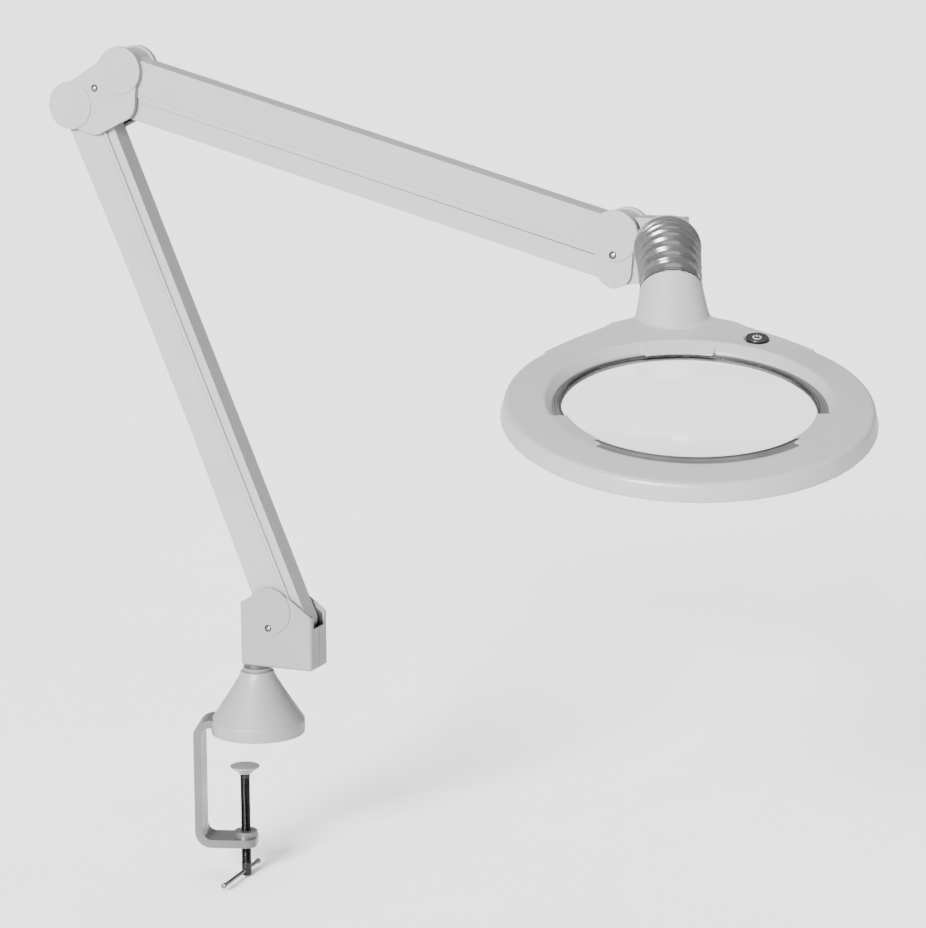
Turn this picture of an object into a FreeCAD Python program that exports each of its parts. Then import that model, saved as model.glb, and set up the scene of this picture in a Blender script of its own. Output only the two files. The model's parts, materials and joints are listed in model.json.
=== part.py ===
import FreeCAD, Part
import math
import os
import re
import Sketcher
from FreeCAD import Placement, Rotation, Vector

# Bench magnifying lamp: table clamp, two parallelogram arms, bellows joint and a lit ring lens.
# Origin: centre of the base cone's underside on the table top. +Z up, the arms lie in XZ.

os.makedirs("parts", exist_ok=True)
doc = FreeCAD.newDocument("magnifying_lamp")
sheet = doc.addObject("Spreadsheet::Sheet", "Sizes")

SIZES = {
    # clamp, turned about Z from the arm plane
    "clamp_turn": 19.2, "bar_half": 13.0, "spine_out": -47.4, "spine_in": -41.5,
    "jaw_low": 5.2, "jaw_top": 11.0, "foot_low": -88.0, "foot_top": -81.9,
    "screw_off": -10.7, "screw_rad": 3.75, "boss_rad": 8.6, "boss_top": -77.5,
    "screw_top": -33.1, "screw_end": -112.8, "bar_level": -108.3, "bar_rad": 1.5,
    "pad_top": -26.8, "pad_rad": 11.2, "pad_low": -32.8,
    # cone and swivel pin
    "cone_rad": 35.2, "cone_top": 47.6, "cone_tip": 12.3, "skirt_top": 9.5,
    "pin_rad": 6.35, "pin_low": 17.3, "run_fit": 0.05,
    # bracket thickness bands, measured from the arm plane
    "face_out": 14.5, "plate_out": 13.7, "plate_in": 12.5, "core_out": 12.2, "core_in": 10.2,
    "disc_rad": 17.5, "web_rad": 14.5, "lobe_rad": 12.5,
    # arm channels
    "arm_len": 400.0, "arm_half": 9.9, "arm_wall": 1.3, "arm_top": 10.5, "arm_lip": 17.7,
    "drum_rad": 16.0, "pivot_rad": 4.0, "link_pin_rad": 3.0, "link_half": 8.3,
    "link_wall": 1.2, "link_low": 9.3, "link_top": 7.0,
    # head joint
    "block_end": 334.0, "block_low": 353.0, "block_top": 398.6, "swivel_x": 320.0,
    "stub_z": 378.8, "flange_rad": 23.2, "tilt_out": 29.0,
    # ring head
    "lip_rad": 90.8, "rim_rad": 116.1, "wall_rad": 118.5, "head_deep": 12.9,
    "lens_rad": 82.4, "tab_rad": 79.6, "seat_rad": 84.2, "button_rad": 7.6,
}
for row, (alias, number) in enumerate(SIZES.items(), start=1):
    sheet.set("A%d" % row, str(number))
    sheet.setAlias("A%d" % row, alias)
doc.recompute()

ALIAS = re.compile(r"\b(" + "|".join(SIZES) + r")\b")
X, Y, Z = Vector(1, 0, 0), Vector(0, 1, 0), Vector(0, 0, 1)
NODES = {}


def size(alias):
    """Read one driving dimension from the sheet."""
    return float(sheet.get(alias))


def formula(text):
    """Turn sheet aliases in a formula into references to the sheet."""
    return ALIAS.sub(r"Sizes.\1", str(text))


def value(text):
    """Work out a formula through a spare cell of the sheet."""
    sheet.set("C1", "=" + str(text))
    sheet.recompute()
    return float(sheet.get("C1"))


def placed(obj, at, axis=Z):
    """Turn a primitive's own Z onto axis and bind its corner or centre to formulas."""
    obj.Placement = Placement(Vector(), Rotation(Z, axis))
    for letter, text in zip("xyz", at):
        obj.setExpression("Placement.Base." + letter, formula(text))
    return obj


def cylinder(radius, height, at=(0, 0, 0), axis=Z):
    obj = doc.addObject("Part::Cylinder", "Cylinder")
    obj.setExpression("Radius", formula(radius))
    obj.setExpression("Height", formula(height))
    return placed(obj, at, axis)


def cone(radius_low, radius_high, height, at=(0, 0, 0), axis=Z):
    obj = doc.addObject("Part::Cone", "Cone")
    obj.setExpression("Radius1", formula(radius_low))
    obj.setExpression("Radius2", formula(radius_high))
    obj.setExpression("Height", formula(height))
    return placed(obj, at, axis)


def box(length, width, height, at):
    obj = doc.addObject("Part::Box", "Box")
    obj.setExpression("Length", formula(length))
    obj.setExpression("Width", formula(width))
    obj.setExpression("Height", formula(height))
    return placed(obj, at)


def cross(radius, half, x, z):
    """A round bar across the arm plane, centred on it."""
    return cylinder(radius, "2*(%s)" % half, (x, "-(%s)" % half, z), Y)


def fuse(*shapes):
    obj = doc.addObject("Part::MultiFuse", "Fuse")
    obj.Shapes = list(shapes)
    return obj


def cut(base, *tools):
    obj = doc.addObject("Part::Cut", "Cut")
    obj.Base = base
    obj.Tool = tools[0] if len(tools) == 1 else fuse(*tools)
    return obj


def common(first, second):
    obj = doc.addObject("Part::Common", "Common")
    obj.Base = first
    obj.Tool = second
    return obj


def moved(base, placement):
    """Carry a finished shape to its place; a bound position is freed first."""
    doc.recompute()
    for path, _ in list(base.ExpressionEngine):
        if "Placement" in path:
            base.setExpression(path, None)
    base.Placement = placement.multiply(base.Placement)
    return base


def sketch(corners):
    """Closed outline of straight edges, every corner held by two bound dimensions."""
    outline = doc.addObject("Sketcher::SketchObject", "Outline")
    points = [Vector(value(a), value(b), 0) for a, b in corners]
    count = len(points)
    for i in range(count):
        outline.addGeometry(Part.LineSegment(points[i], points[(i + 1) % count]), False)
    for i in range(count):
        outline.addConstraint(Sketcher.Constraint("Coincident", i, 2, (i + 1) % count, 1))
    for i, (a, b) in enumerate(corners):
        for kind, text, number in (("DistanceX", a, points[i].x), ("DistanceY", b, points[i].y)):
            index = outline.addConstraint(Sketcher.Constraint(kind, -1, 1, i, 1, number))
            if ALIAS.search(str(text)):
                outline.setExpression("Constraints[%d]" % index, formula(text))
    return outline


def slab(corners, near, far):
    """Outline drawn in XZ and pushed across the arm plane from y=near to y=far."""
    body = doc.addObject("Part::Extrusion", "Slab")
    body.Base = sketch(corners)
    body.Base.Placement = Placement(Vector(), Rotation(X, 90))
    body.DirMode = "Custom"
    body.Dir = Y
    body.Solid = True
    body.setExpression("LengthFwd", formula("(%s)-(%s)" % (far, near)))
    body.setExpression("Placement.Base.y", formula(near))
    return body


def turned(corners):
    """Profile of (radius, height) corners turned about Z."""
    body = doc.addObject("Part::Revolution", "Turned")
    body.Source = sketch(corners)
    body.Source.Placement = Placement(Vector(), Rotation(X, 90))
    body.Axis = Z
    body.Angle = 360
    body.Solid = True
    return body


def rounded(base, radius, pick):
    """Round the edges that pick() chooses by their middle point and direction."""
    doc.recompute()
    edges = []
    for index, edge in enumerate(base.Shape.Edges, start=1):
        if edge.Curve.TypeId != "Part::GeomLine":
            continue
        first, last = edge.Vertexes[0].Point, edge.Vertexes[-1].Point
        if pick((first + last) * 0.5, (last - first).normalize()):
            edges.append((index, radius, radius))
    body = doc.addObject("Part::Fillet", "Rounded")
    body.Base = base
    body.Edges = edges
    return body


def node(name, obj, placement=None):
    """Name a finished sub-part."""
    obj.Label = name
    if placement is not None:
        moved(obj, placement)
    NODES[name] = obj
    return obj


def tangent_face(circles):
    """Flat face bounded by the outer hull of circles (x, z, radius) in the arm plane."""
    points = []
    for cx, cz, radius in circles:
        for step in range(72):
            angle = math.radians(step * 5)
            points.append((cx + radius * math.cos(angle), cz + radius * math.sin(angle)))
    points.sort()
    hull = []
    for sweep in (points, points[::-1]):
        side = []
        for p in sweep:
            while len(side) > 1 and turn(side[-2], side[-1], p) <= 1e-9:
                side.pop()
            side.append(p)
        hull += side[:-1]
    wire = Part.makePolygon([Vector(a, 0, b) for a, b in hull + hull[:1]])
    return Part.Face(wire)


def turn(a, b, c):
    return (b[0] - a[0]) * (c[1] - a[1]) - (b[1] - a[1]) * (c[0] - a[0])


def plate_shape(outlines, near, far):
    """Prism between y=near and y=far over the union of several circle hulls."""
    solids = [tangent_face(hull).extrude(Vector(0, far - near, 0)) for hull in outlines]
    joined = solids[0].multiFuse(solids[1:]) if len(solids) > 1 else solids[0]
    joined.translate(Vector(0, near, 0))
    return joined.removeSplitter()


def copies_round(obj, count, first):
    """Equal copies of one object about Z, as computed shapes joined in one object."""
    doc.recompute()
    pieces = []
    for number in range(count):
        piece = obj.Shape.copy()
        piece.rotate(Vector(), Z, first + 360.0 * number / count)
        pieces.append(piece)
    return shape_object(pieces[0].multiFuse(pieces[1:]))


def shape_object(shape):
    """Wrap a computed shape as a document object."""
    obj = doc.addObject("Part::Feature", "Shaped")
    obj.Shape = shape
    return obj


# ---------------------------------------------------------------- table clamp
clamp_place = Placement(Vector(), Rotation(Z, size("clamp_turn")))


JAW_SCREWS = (-24, 9.4)


def build_clamp():
    bar = slab([("spine_out", "foot_low"), ("screw_off+boss_rad", "foot_low"),
                ("screw_off+boss_rad", "foot_top"), ("spine_in", "foot_top"), ("spine_in", "jaw_low"),
                (13, "jaw_low"), (13, "jaw_top"), ("spine_out", "jaw_top")], "-bar_half", "bar_half")
    bar = rounded(bar, 12.5, lambda m, d: abs(d.y) > 0.9 and m.x < size("spine_out") + 1)
    bar = rounded(bar, 7.0, lambda m, d: abs(d.y) > 0.9 and abs(m.x - size("spine_in")) < 1)
    bar = rounded(bar, 8.0, lambda m, d: abs(d.z) > 0.9 and -5 < m.x < 5 and m.z < -70)
    boss = cylinder("boss_rad", "boss_top-foot_low-1", ("screw_off", 0, "foot_low+1"))
    bore = cylinder("screw_rad+run_fit", "boss_top-foot_low+4", ("screw_off", 0, "foot_low-2"))
    holes = [cylinder(2.1, 10, (x, 0, 3)) for x in JAW_SCREWS]
    centre = cylinder(3.1, 10, (0, 0, 3))
    node("clamp_frame", cut(fuse(bar, boss), bore, centre, *holes), clamp_place)

    shell = turned([("cone_rad", 0), ("cone_rad", "skirt_top"), ("cone_rad-1.1", "skirt_top+2.8"),
                    ("cone_tip", "cone_top-1"), ("cone_tip-0.8", "cone_top"), (10.2, "cone_top"),
                    (10.2, "cone_top-5"), ("cone_rad-3.4", "skirt_top+1.4"),
                    ("cone_rad-2.4", "skirt_top-1.5"), ("cone_rad-2.4", 0)])
    notch = box(24, "2*bar_half+0.6", "jaw_top-jaw_low+0.6", (-44, "-bar_half-0.3", "jaw_low-0.3"))
    node("base_cone", cut(shell, notch), clamp_place)

    tube = turned([(0, 11.1), (10, 11.1), (10, 47.0), (7.95, 47.0), (7.95, 17.0), (0, 17.0)])
    node("socket_tube", cut(tube, cylinder(2.5, 8, (0, 0, 10))), clamp_place)
    node("swivel_bush", turned([("pin_rad+run_fit", 17.2), (7.9, 17.2), (7.9, 47.8), (10.6, 47.8),
                                (10.6, 50.3), ("pin_rad+run_fit", 50.3)]))
    bolt = turned([(0, 2.2), (4.0, 2.2), (3, 3.6), (3, 11.0), (2.5, 11.0), (2.5, 16.5), (0, 16.5)])
    node("frame_bolt", cut(bolt, cylinder(1.7, 1.6, (0, 0, 2.1))))
    plate = turned([(0, 1.8), (31.8, 1.8), (31.8, 5.1), (0, 5.1)])
    sinks = [cylinder(4.2, 2.4, (x, 0, 1.0)) for x in JAW_SCREWS]
    sinks += [cylinder(2.1, 6, (x, 0, 1.0)) for x in JAW_SCREWS]
    node("jaw_plate", cut(plate, cylinder(4.4, 6, (0, 0, 1)), *sinks), clamp_place)
    node("jaw_pad", turned([(0, 0), (32.4, 0), (32.4, 1.7), (0, 1.7)]))
    screws = [turned([(0, 2.0), (3.6, 2.0), (3.6, 3.2), (2, 3.3), (2, 10.9), (0, 10.9)]) for _ in (0, 1)]
    for obj, x in zip(screws, JAW_SCREWS):
        obj.Placement.Base = Vector(x, 0, 0)
    node("jaw_screws", fuse(*screws), clamp_place)

    pad = turned([(0, "pad_top"), ("pad_rad-0.4", "pad_top"), ("pad_rad", "pad_top-0.5"),
                  ("pad_rad-0.6", "pad_top-1.5"), ("pad_rad-4.5", "pad_top-4"), (4.7, "pad_low"),
                  (2.55, "pad_low"), (2.55, "pad_top-2.6"), (0, "pad_top-2.6")])
    off = Placement(clamp_place.multVec(Vector(size("screw_off"), 0, 0)), Rotation())
    node("pressure_pad", pad, off)
    rod = turned([(0, "screw_top+3.4"), (2.5, "screw_top+3.4"), (2.5, "screw_top"),
                  ("screw_rad", "screw_top"), ("screw_rad", "screw_end+1"), ("screw_rad-1", "screw_end"),
                  (0, "screw_end")])
    cross_hole = cylinder("bar_rad+0.1", 20, (0, -10, "bar_level"), Y)
    node("clamp_screw", cut(rod, cross_hole), off)
    handle = fuse(cylinder("bar_rad", 63.5, (0, -42, "bar_level"), Y),
                  cylinder("bar_rad+0.6", 3, (0, -43, "bar_level"), Y),
                  cylinder("bar_rad+0.6", 3, (0, 19.5, "bar_level"), Y))
    node("tommy_bar", handle, off)
    for name in ("clamp_screw", "tommy_bar"):
        NODES[name].Placement.Rotation = Rotation(Z, 3.6)


# ------------------------------------------------------- pivots of the arm plane
def polar(length, degrees):
    angle = math.radians(degrees)
    return Vector(length * math.cos(angle), 0, length * math.sin(angle))


LOW_ANGLE, HIGH_ANGLE = 113.16, -15.27
LOW_LINK, HIGH_LINK = Vector(20.0, 0, -8.5), Vector(0, 0, -24.0)
BASE_PIVOT = Vector(17.6, 0, 97.5)
ELBOW_LOW = BASE_PIVOT + polar(size("arm_len"), LOW_ANGLE)
ELBOW_HIGH = ELBOW_LOW + Vector(41.6, 0, 26.1)
HEAD_PIVOT = ELBOW_HIGH + polar(size("arm_len"), HIGH_ANGLE)


def circle(point, alias):
    return (point.x, point.z, size(alias) if isinstance(alias, str) else alias)


def grown(circles, extra):
    return [(cx, cz, radius + extra) for cx, cz, radius in circles]


def pins(name, points):
    bars = [cross(radius, "core_out", p.x, p.z) for p, radius in points]
    node(name, fuse(*bars))


def tray(side, outlines, discs, screw):
    """Cover plate with a returned rim and round caps; side is -1 for the near one."""
    plate = plate_shape(outlines, size("core_in") + 0.05, size("plate_out"))
    inner = [grown(hull, -1.9) for hull in outlines]
    hollow = plate_shape(inner, size("core_in") - 1, size("plate_in"))
    shape = plate.cut(hollow)
    for disc in discs:
        shape = shape.fuse(plate_shape([[disc]], size("plate_in"), size("face_out")))
    sink = Part.makeCylinder(2.7, 3, Vector(screw.x, size("plate_out") - 0.9, screw.z), Y)
    shank = Part.makeCylinder(1.7, 9, Vector(screw.x, 8, screw.z), Y)
    shape = shape.cut(sink).cut(shank).removeSplitter()
    return shape if side > 0 else shape.mirror(Vector(), Y)


def cover_screws(name, screw):
    """One countersunk screw through each cover into the core plate."""
    near = [cylinder(2.5, 1.2, (screw.x, "plate_out-0.7", screw.z), Y),
            cylinder(1.6, 3.6, (screw.x, "core_in", screw.z), Y)]
    far = [cylinder(2.5, 1.2, (screw.x, "0.7-plate_out-1.2", screw.z), Y),
           cylinder(1.6, 3.6, (screw.x, "-core_in-3.6", screw.z), Y)]
    node(name, fuse(*near, *far))


def core_plates(outlines, points, screw, extra=()):
    """Two steel plates outside the arm, joined by whatever extra solids are given."""
    inner = [grown(hull, -2.2) for hull in outlines]
    far = plate_shape(inner, size("core_in"), size("core_out"))
    shape = far.fuse([far.mirror(Vector(), Y)] + list(extra))
    for point, radius in points:
        shape = shape.cut(Part.makeCylinder(radius, 40, Vector(point.x, -20, point.z), Y))
    shape = shape.cut(Part.makeCylinder(1.6, 40, Vector(screw.x, -20, screw.z), Y))
    return shape.removeSplitter()


# ---------------------------------------------------------------- base bracket
def build_base():
    screw = BASE_PIVOT + Vector(-0.6, 0, -13.2)
    outline = [(-6.7, 54.1), (52, 54.1), (52, 94.5), (47.5, 98), (33.5, 108), (12, 113), (-6.7, 101.5)]
    outer = slab(outline, 0.05, "plate_out")
    inner = slab([(-5, 55.6), (50.4, 55.6), (50.4, 130), (-5, 130)], -1, "plate_in")
    window = box(10, 9.6, 20, (46, -0.6, 85.5))
    drum = cylinder("disc_rad", "face_out-plate_in", (BASE_PIVOT.x, "plate_in", BASE_PIVOT.z), Y)
    roof = slab([(-20, 98.5), (33, 113.5), (33, 125), (-20, 125)], -1, 10.2)
    pin_hole = cylinder(3.3, 4, (0, 0, 53))
    sink = cylinder(2.7, 3, (screw.x, "plate_out-0.9", screw.z), Y)
    shank = cylinder(1.7, 9, (screw.x, 8, screw.z), Y)
    shell = cut(fuse(cut(outer, inner, roof), drum), window, pin_hole, sink, shank)
    doc.recompute()
    node("base_shell_back", shell)
    node("base_shell_front", shape_object(shell.Shape.mirror(Vector(), Y)))
    link_end = BASE_PIVOT + LOW_LINK
    side = [(-4.6, 55.8), (50, 55.8), (50, 92.5), (33, 104), (26, 110), (9, 110), (-4.6, 99.5)]
    plates = fuse(slab(side, "core_in", "core_out"), slab(side, "-core_out", "-core_in"),
                  box(54.6, "2*core_out", 2.8, (-4.6, "-core_out", 55.8)))
    node("base_core", cut(plates, cross("pivot_rad", 20, BASE_PIVOT.x, BASE_PIVOT.z),
                          cross("link_pin_rad", 20, link_end.x, link_end.z),
                          cross(1.6, 20, screw.x, screw.z), cylinder(3, 10, (0, 0, 52))))
    node("base_pin", turned([(0, "pin_low"), ("pin_rad-1", "pin_low"), ("pin_rad", "pin_low+1"),
                             ("pin_rad", 50.6), (10, 50.6), (10, 54.0), (3, 54.0), (3, 58.6),
                             (4.2, 58.6), (3.4, 60), (0, 60)]))
    pins("base_pivots", [(BASE_PIVOT, "pivot_rad"), (link_end, "link_pin_rad")])
    cover_screws("base_screws", screw)


# ---------------------------------------------------------------- arm channels
def line_height(line, at):
    """Height of a broken line given by its corners, between two of them."""
    for (x0, z0), (x1, z1) in zip(line, line[1:]):
        if x0 <= at <= x1:
            return z0 + (z1 - z0) * (at - x0) / (x1 - x0)
    return line[-1][1]


def link_slot(x, reach, first, last):
    """Curved slot in the channel's walls that a link pin sweeps, angles in degrees."""
    band = cut(cross(reach + 3.5, 20, x, 0), cross(reach - 3.5, 20, x, 0))
    corners = [(x, 0)]
    for step in range(7):
        angle = math.radians(first + (last - first) * step / 6.0)
        corners.append((x + 60 * math.cos(angle), 60 * math.sin(angle)))
    return common(band, slab(corners, -20, 20))


def arm_channel(top_line, groove, slot):
    """Outer channel: open below, round ends about both pivots, in its own frame."""
    outline = [(-7, -9), (4, "-arm_lip"), ("arm_len-4", "-arm_lip"), ("arm_len+7", -9)] + top_line[::-1]
    inner = [(-7, -40), ("arm_len+7", -40)] + [(x, z - size("arm_wall")) for x, z in top_line[::-1]]
    outside = [slab(outline, "-arm_half", "arm_half")]
    inside = [slab(inner, "arm_wall-arm_half", "arm_half-arm_wall")]
    for x in (0, "arm_len"):
        outside.append(cross("drum_rad", "arm_half", x, 0))
        inside.append(cross("drum_rad-arm_wall", "arm_half-arm_wall", x, 0))
    inner_half = "arm_half-arm_wall"
    below = [box(40, "2*(%s)" % inner_half, 40, (x, "-(%s)" % inner_half, "-41.5"))
             for x in (-32, "arm_len-8")]
    holes = [cross("pivot_rad+run_fit", 20, x, 0) for x in (0, "arm_len")]
    lines = [box("arm_len-44", 1, 0.7, (16, y, groove)) for y in ("-arm_half-0.7", "arm_half-0.3")]
    hanger = box(8, 11, line_height(top_line, 334) - 0.6 + 12.5, (330, -5.5, -12.5))
    slots = [link_slot(x, *slot) for x in (0, size("arm_len"))]
    body = cut(fuse(*outside), *inside, *below, *holes, *lines, *slots)
    return cut(fuse(body, hanger), cross(1.3, 9, 334, -8))


def link_channel():
    """Inner channel: open above, round ends about its own two pivots."""
    trough = box("arm_len", "2*link_half", "link_low+link_top", (0, "-link_half", "-link_low"))
    ends = [cross("link_low", "link_half", x, 0) for x in (0, "arm_len")]
    roof = box("arm_len+30", 30, 10, (-15, -15, "link_top"))
    hollow = box("arm_len-4", "2*(link_half-link_wall)", 40,
                 (2, "link_wall-link_half", "link_wall-link_low"))
    mouths = [cross("link_low-link_wall", "link_half-link_wall", x, 0) for x in (0, "arm_len")]
    over = box("arm_len+2*5", "2*(link_half-link_wall)", 20, (-5, "link_wall-link_half", 0))
    holes = [cross("link_pin_rad+run_fit", 20, 0, 0), cross("link_pin_rad+0.4", 20, "arm_len", 0)]
    return cut(cut(fuse(trough, *ends), roof), hollow, over, *mouths, *holes)


def spring_shape(start, hook):
    """Close-wound balance spring from an eye round the link pin to the channel's hanger."""
    end = Vector(334, 0, -8)
    axis = (end - start).normalize()
    eye = Part.makeTorus(hook + 1.35, 1.0, start, Y)
    lead = Part.makeCylinder(1.0, 40 - hook, start + axis * (hook + 1.3), axis)
    coil = Part.makeCylinder(5.4, 240, start + axis * 40, axis)
    coil = coil.cut(Part.makeCylinder(3.6, 250, start + axis * 41.2, axis))
    tail = Part.makeCylinder(1.0, (end - start).Length - 45, start + axis * 40.5, axis)
    return coil.multiFuse([eye, lead, tail]).removeSplitter()


def build_arm(prefix, origin, angle, link, top_line, groove, slot):
    place = Placement(origin, Rotation(Y, -angle))
    node(prefix + "_channel", arm_channel(top_line, groove, slot), place)
    node(prefix + "_link_channel", link_channel(), Placement(origin + link, Rotation(Y, -angle)))
    local = place.inverse().multVec(origin + link)
    node(prefix + "_spring", shape_object(spring_shape(local, size("link_pin_rad"))), place)


def build_elbow():
    low_link, high_link = ELBOW_LOW + LOW_LINK, ELBOW_HIGH + HIGH_LINK
    screw = ELBOW_LOW + Vector(20.8, 0, 13.0)
    body = [circle(ELBOW_LOW, "web_rad"), circle(ELBOW_HIGH, "web_rad"),
            circle(high_link, "lobe_rad"), circle(low_link, "lobe_rad")]
    discs = [circle(ELBOW_LOW, "disc_rad"), circle(ELBOW_HIGH, "disc_rad")]
    outlines = [body, [discs[0]], [discs[1]]]
    for side, name in ((-1, "front"), (1, "back")):
        node("elbow_shell_" + name, shape_object(tray(side, outlines, discs, screw)))
    spacer_at = ELBOW_LOW + Vector(17.4, 0, 18.3)
    spacer = Part.makeCylinder(3.4, 2 * size("core_in") + 0.4,
                               Vector(spacer_at.x, -size("core_in") - 0.2, spacer_at.z), Y)
    holes = [(ELBOW_LOW, 4.0), (ELBOW_HIGH, 4.0), (low_link, 3.0), (high_link, 3.0)]
    node("elbow_core", shape_object(core_plates(outlines, holes, screw, [spacer])))
    pins("elbow_pivots", [(ELBOW_LOW, "pivot_rad"), (ELBOW_HIGH, "pivot_rad"),
                          (low_link, "link_pin_rad"), (high_link, "link_pin_rad")])
    cover_screws("elbow_screws", screw)


# ---------------------------------------------------------------- head bracket
HEAD_YAW, HEAD_TILT = 24.3, 15.8


def build_head_bracket():
    link_end = HEAD_PIVOT + HIGH_LINK
    screw = HEAD_PIVOT + Vector(-0.7, 0, -13.4)
    disc = circle(HEAD_PIVOT, "disc_rad")
    outlines = [[circle(HEAD_PIVOT, "web_rad"), circle(link_end, "lobe_rad")], [disc]]
    for side, name in ((-1, "front"), (1, "back")):
        node("head_shell_" + name, shape_object(tray(side, outlines, [disc], screw)))
    half = size("core_in")
    low, top, end = size("block_low"), size("block_top"), size("block_end")
    pivot_x = size("swivel_x")
    block = Part.makeBox(end - 290, 2 * half, top - low, Vector(290, -half, low))
    block = block.cut(Part.makeBox(40, 2 * half + 2, 29, Vector(308.4, -half - 1, 364)))
    block = block.makeFillet(1.5, [e for e in block.Edges if e.BoundBox.XMin > end - 0.1])
    block = block.cut(Part.makeCylinder(18.6, 30, Vector(HEAD_PIVOT.x, -15, HEAD_PIVOT.z), Y))
    block = block.cut(Part.makeCylinder(9.8, 30, Vector(link_end.x, -15, link_end.z), Y))
    shape = core_plates(outlines, [(HEAD_PIVOT, 4.0), (link_end, 3.0)], screw, [block])
    shape = shape.cut(Part.makeCylinder(4.0, 60, Vector(pivot_x, 0, low + 3), Z))
    node("head_core", shape_object(shape))
    pins("head_pivots", [(HEAD_PIVOT, "pivot_rad"), (link_end, "link_pin_rad")])
    cover_screws("head_screws", screw)
    node("swivel_pin", cylinder(4.0, "block_top-block_low-4", ("swivel_x", 0, "block_low+3.2")))


# Joint pieces are drawn looking back along +Y from the swivel axis, then yawed.
def joint_place():
    return Placement(Vector(size("swivel_x"), 0, size("stub_z")), Rotation(Z, HEAD_YAW))


def along(radius, near, far):
    """Round bar that leaves the swivel axis toward the front, between two distances."""
    return cylinder(radius, "(%s)-(%s)" % (far, near), (0, "-(%s)" % far, 0), Y)


def build_head_joint():
    place = joint_place()
    knuckle = fuse(cylinder(9.4, 28.4, (0, 0, "364.3-stub_z")), along(8.4, 0, 16.4), along(5.0, 16, 22.3))
    bore = cylinder("4.0+run_fit", 60, (0, 0, -30))
    node("swivel_knuckle", cut(knuckle, bore, along(1.5, 12, 24)), place)
    clip = cut(fuse(along(6.6, 22.6, 23.4), along(1.5, 14, 23)), along(0.8, 23.0, 24))
    node("roll_retainer", clip, place)
    hub = fuse(along("flange_rad", 16.8, 19.2), along(8.0, 19, 22.4))
    arms = [box(3, 15.5, 12, (x, "-tilt_out-5", -6)) for x in (5.0, -8.0)]
    yoke = cut(fuse(hub, *arms), along("5.0+run_fit", 10, 22.5), along(6.9, 22.3, 24))
    pin_bore = cylinder(2.5, 40, (-20, "-tilt_out", 0), X)
    node("tilt_yoke", cut(yoke, pin_bore), place)
    node("tilt_pin", cylinder(2.5, 16, (-8, "-tilt_out", 0), X), place)


def bellows_shape():
    """Hollow ridged tube bent through 45 degrees, from the yoke flange to the neck."""
    start, bend = Vector(0, -19.3, 0), Vector(0, -29.0, 0)
    down = Vector(0, -math.cos(math.radians(45)), -math.sin(math.radians(45)))
    stop = bend + down * 32.2
    rings, bores = [], []
    for step in range(15):
        f = step / 14.0
        centre = start * (1 - f) ** 2 + bend * (2 * f * (1 - f)) + stop * f ** 2
        tip = math.radians(45 * f)
        normal = Vector(0, -math.cos(tip), -math.sin(tip))
        radius = (22.9 if step % 2 == 0 else 20.6) - 1.7 * f
        rings.append(Part.Wire(Part.Circle(centre, normal, radius).toShape()))
        if step in (0, 7, 14):
            bores.append(Part.Wire(Part.Circle(centre, normal, 19.0 - 1.6 * f).toShape()))
    outside = Part.makeLoft(rings, True, True)
    return outside.cut(Part.makeLoft(bores, True, False))


# ---------------------------------------------------------------- ring head
# Drawn about the ring's centre: +Y toward the neck, +Z out of the top face.
NECK_TOP = Vector(0, 149.4, 10.9)
NECK_RISE = 29.2
BUTTON_AT = (52.0, 92.6)
TABS = (90, 210, -30)
LENS_LEAN = Placement(Vector(0, 0, -3.3), Rotation(X, -1.92))
TILT_CENTRE = Vector(0, 177.8, 26.7)


def head_place():
    bend = joint_place().multVec(Vector(0, -size("tilt_out"), 0))
    turned_by = Rotation(Z, HEAD_YAW).multiply(Rotation(X, HEAD_TILT))
    return Placement(bend - turned_by.multVec(TILT_CENTRE), turned_by)


def closed_curve(centre, side, top, across, deep):
    """Smooth closed wire about a centre, half-width across and half-depth deep."""
    points = []
    for step in range(24):
        angle = math.radians(15 * step)
        points.append(centre + side * (across * math.cos(angle)) + top * (deep * math.sin(angle)))
    curve = Part.BSplineCurve()
    curve.interpolate(Points=points, PeriodicFlag=True)
    return Part.Wire(curve.toShape())


def neck_solid(shrink):
    """Neck from the bellows rim down to an oval foot on the ring."""
    rise = math.radians(NECK_RISE)
    top = Vector(0, -math.sin(rise), math.cos(rise))
    rim = closed_curve(NECK_TOP, X, top, 21.1 - shrink, 21.1 - shrink)
    foot = [closed_curve(Vector(0, 130.0, z), X, -Y, 25.0 - shrink, 23.4 - shrink)
            for z in (-2.0, -12.9 - shrink)]
    return Part.makeLoft([rim] + foot, True, True)


def shoulder_solid(shrink):
    side = [(88, 76), (66, 98), (48, 113.5), (41.5, 121.5), (28, 129), (22, 136)]
    corners = [(x - shrink * 0.7, y - shrink * 0.7) for x, y in side]
    corners += [(-x, y) for x, y in corners[::-1]]
    corners += [(-60, 60), (60, 60)]
    low = -size("head_deep") if not shrink else -size("head_deep") - 1
    wire = Part.makePolygon([Vector(x, y, low) for x, y in corners + corners[:1]])
    tall = -0.4 - shrink - low
    return Part.Face(wire).extrude(Vector(0, 0, tall))


def recess_shape(floor):
    """Conical well in the ring's top, down to a floor that leans with the lens."""
    well = Part.makeCone(size("lip_rad"), size("lip_rad") - 1.25 * 11, 11, Vector(), -Z)
    well = well.fuse(Part.makeCylinder(size("lip_rad"), 20, Vector(), Z))
    below = Part.makeBox(300, 300, 60, Vector(-150, -150, floor - 60))
    below.Placement = LENS_LEAN
    return well.cut(below)


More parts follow.
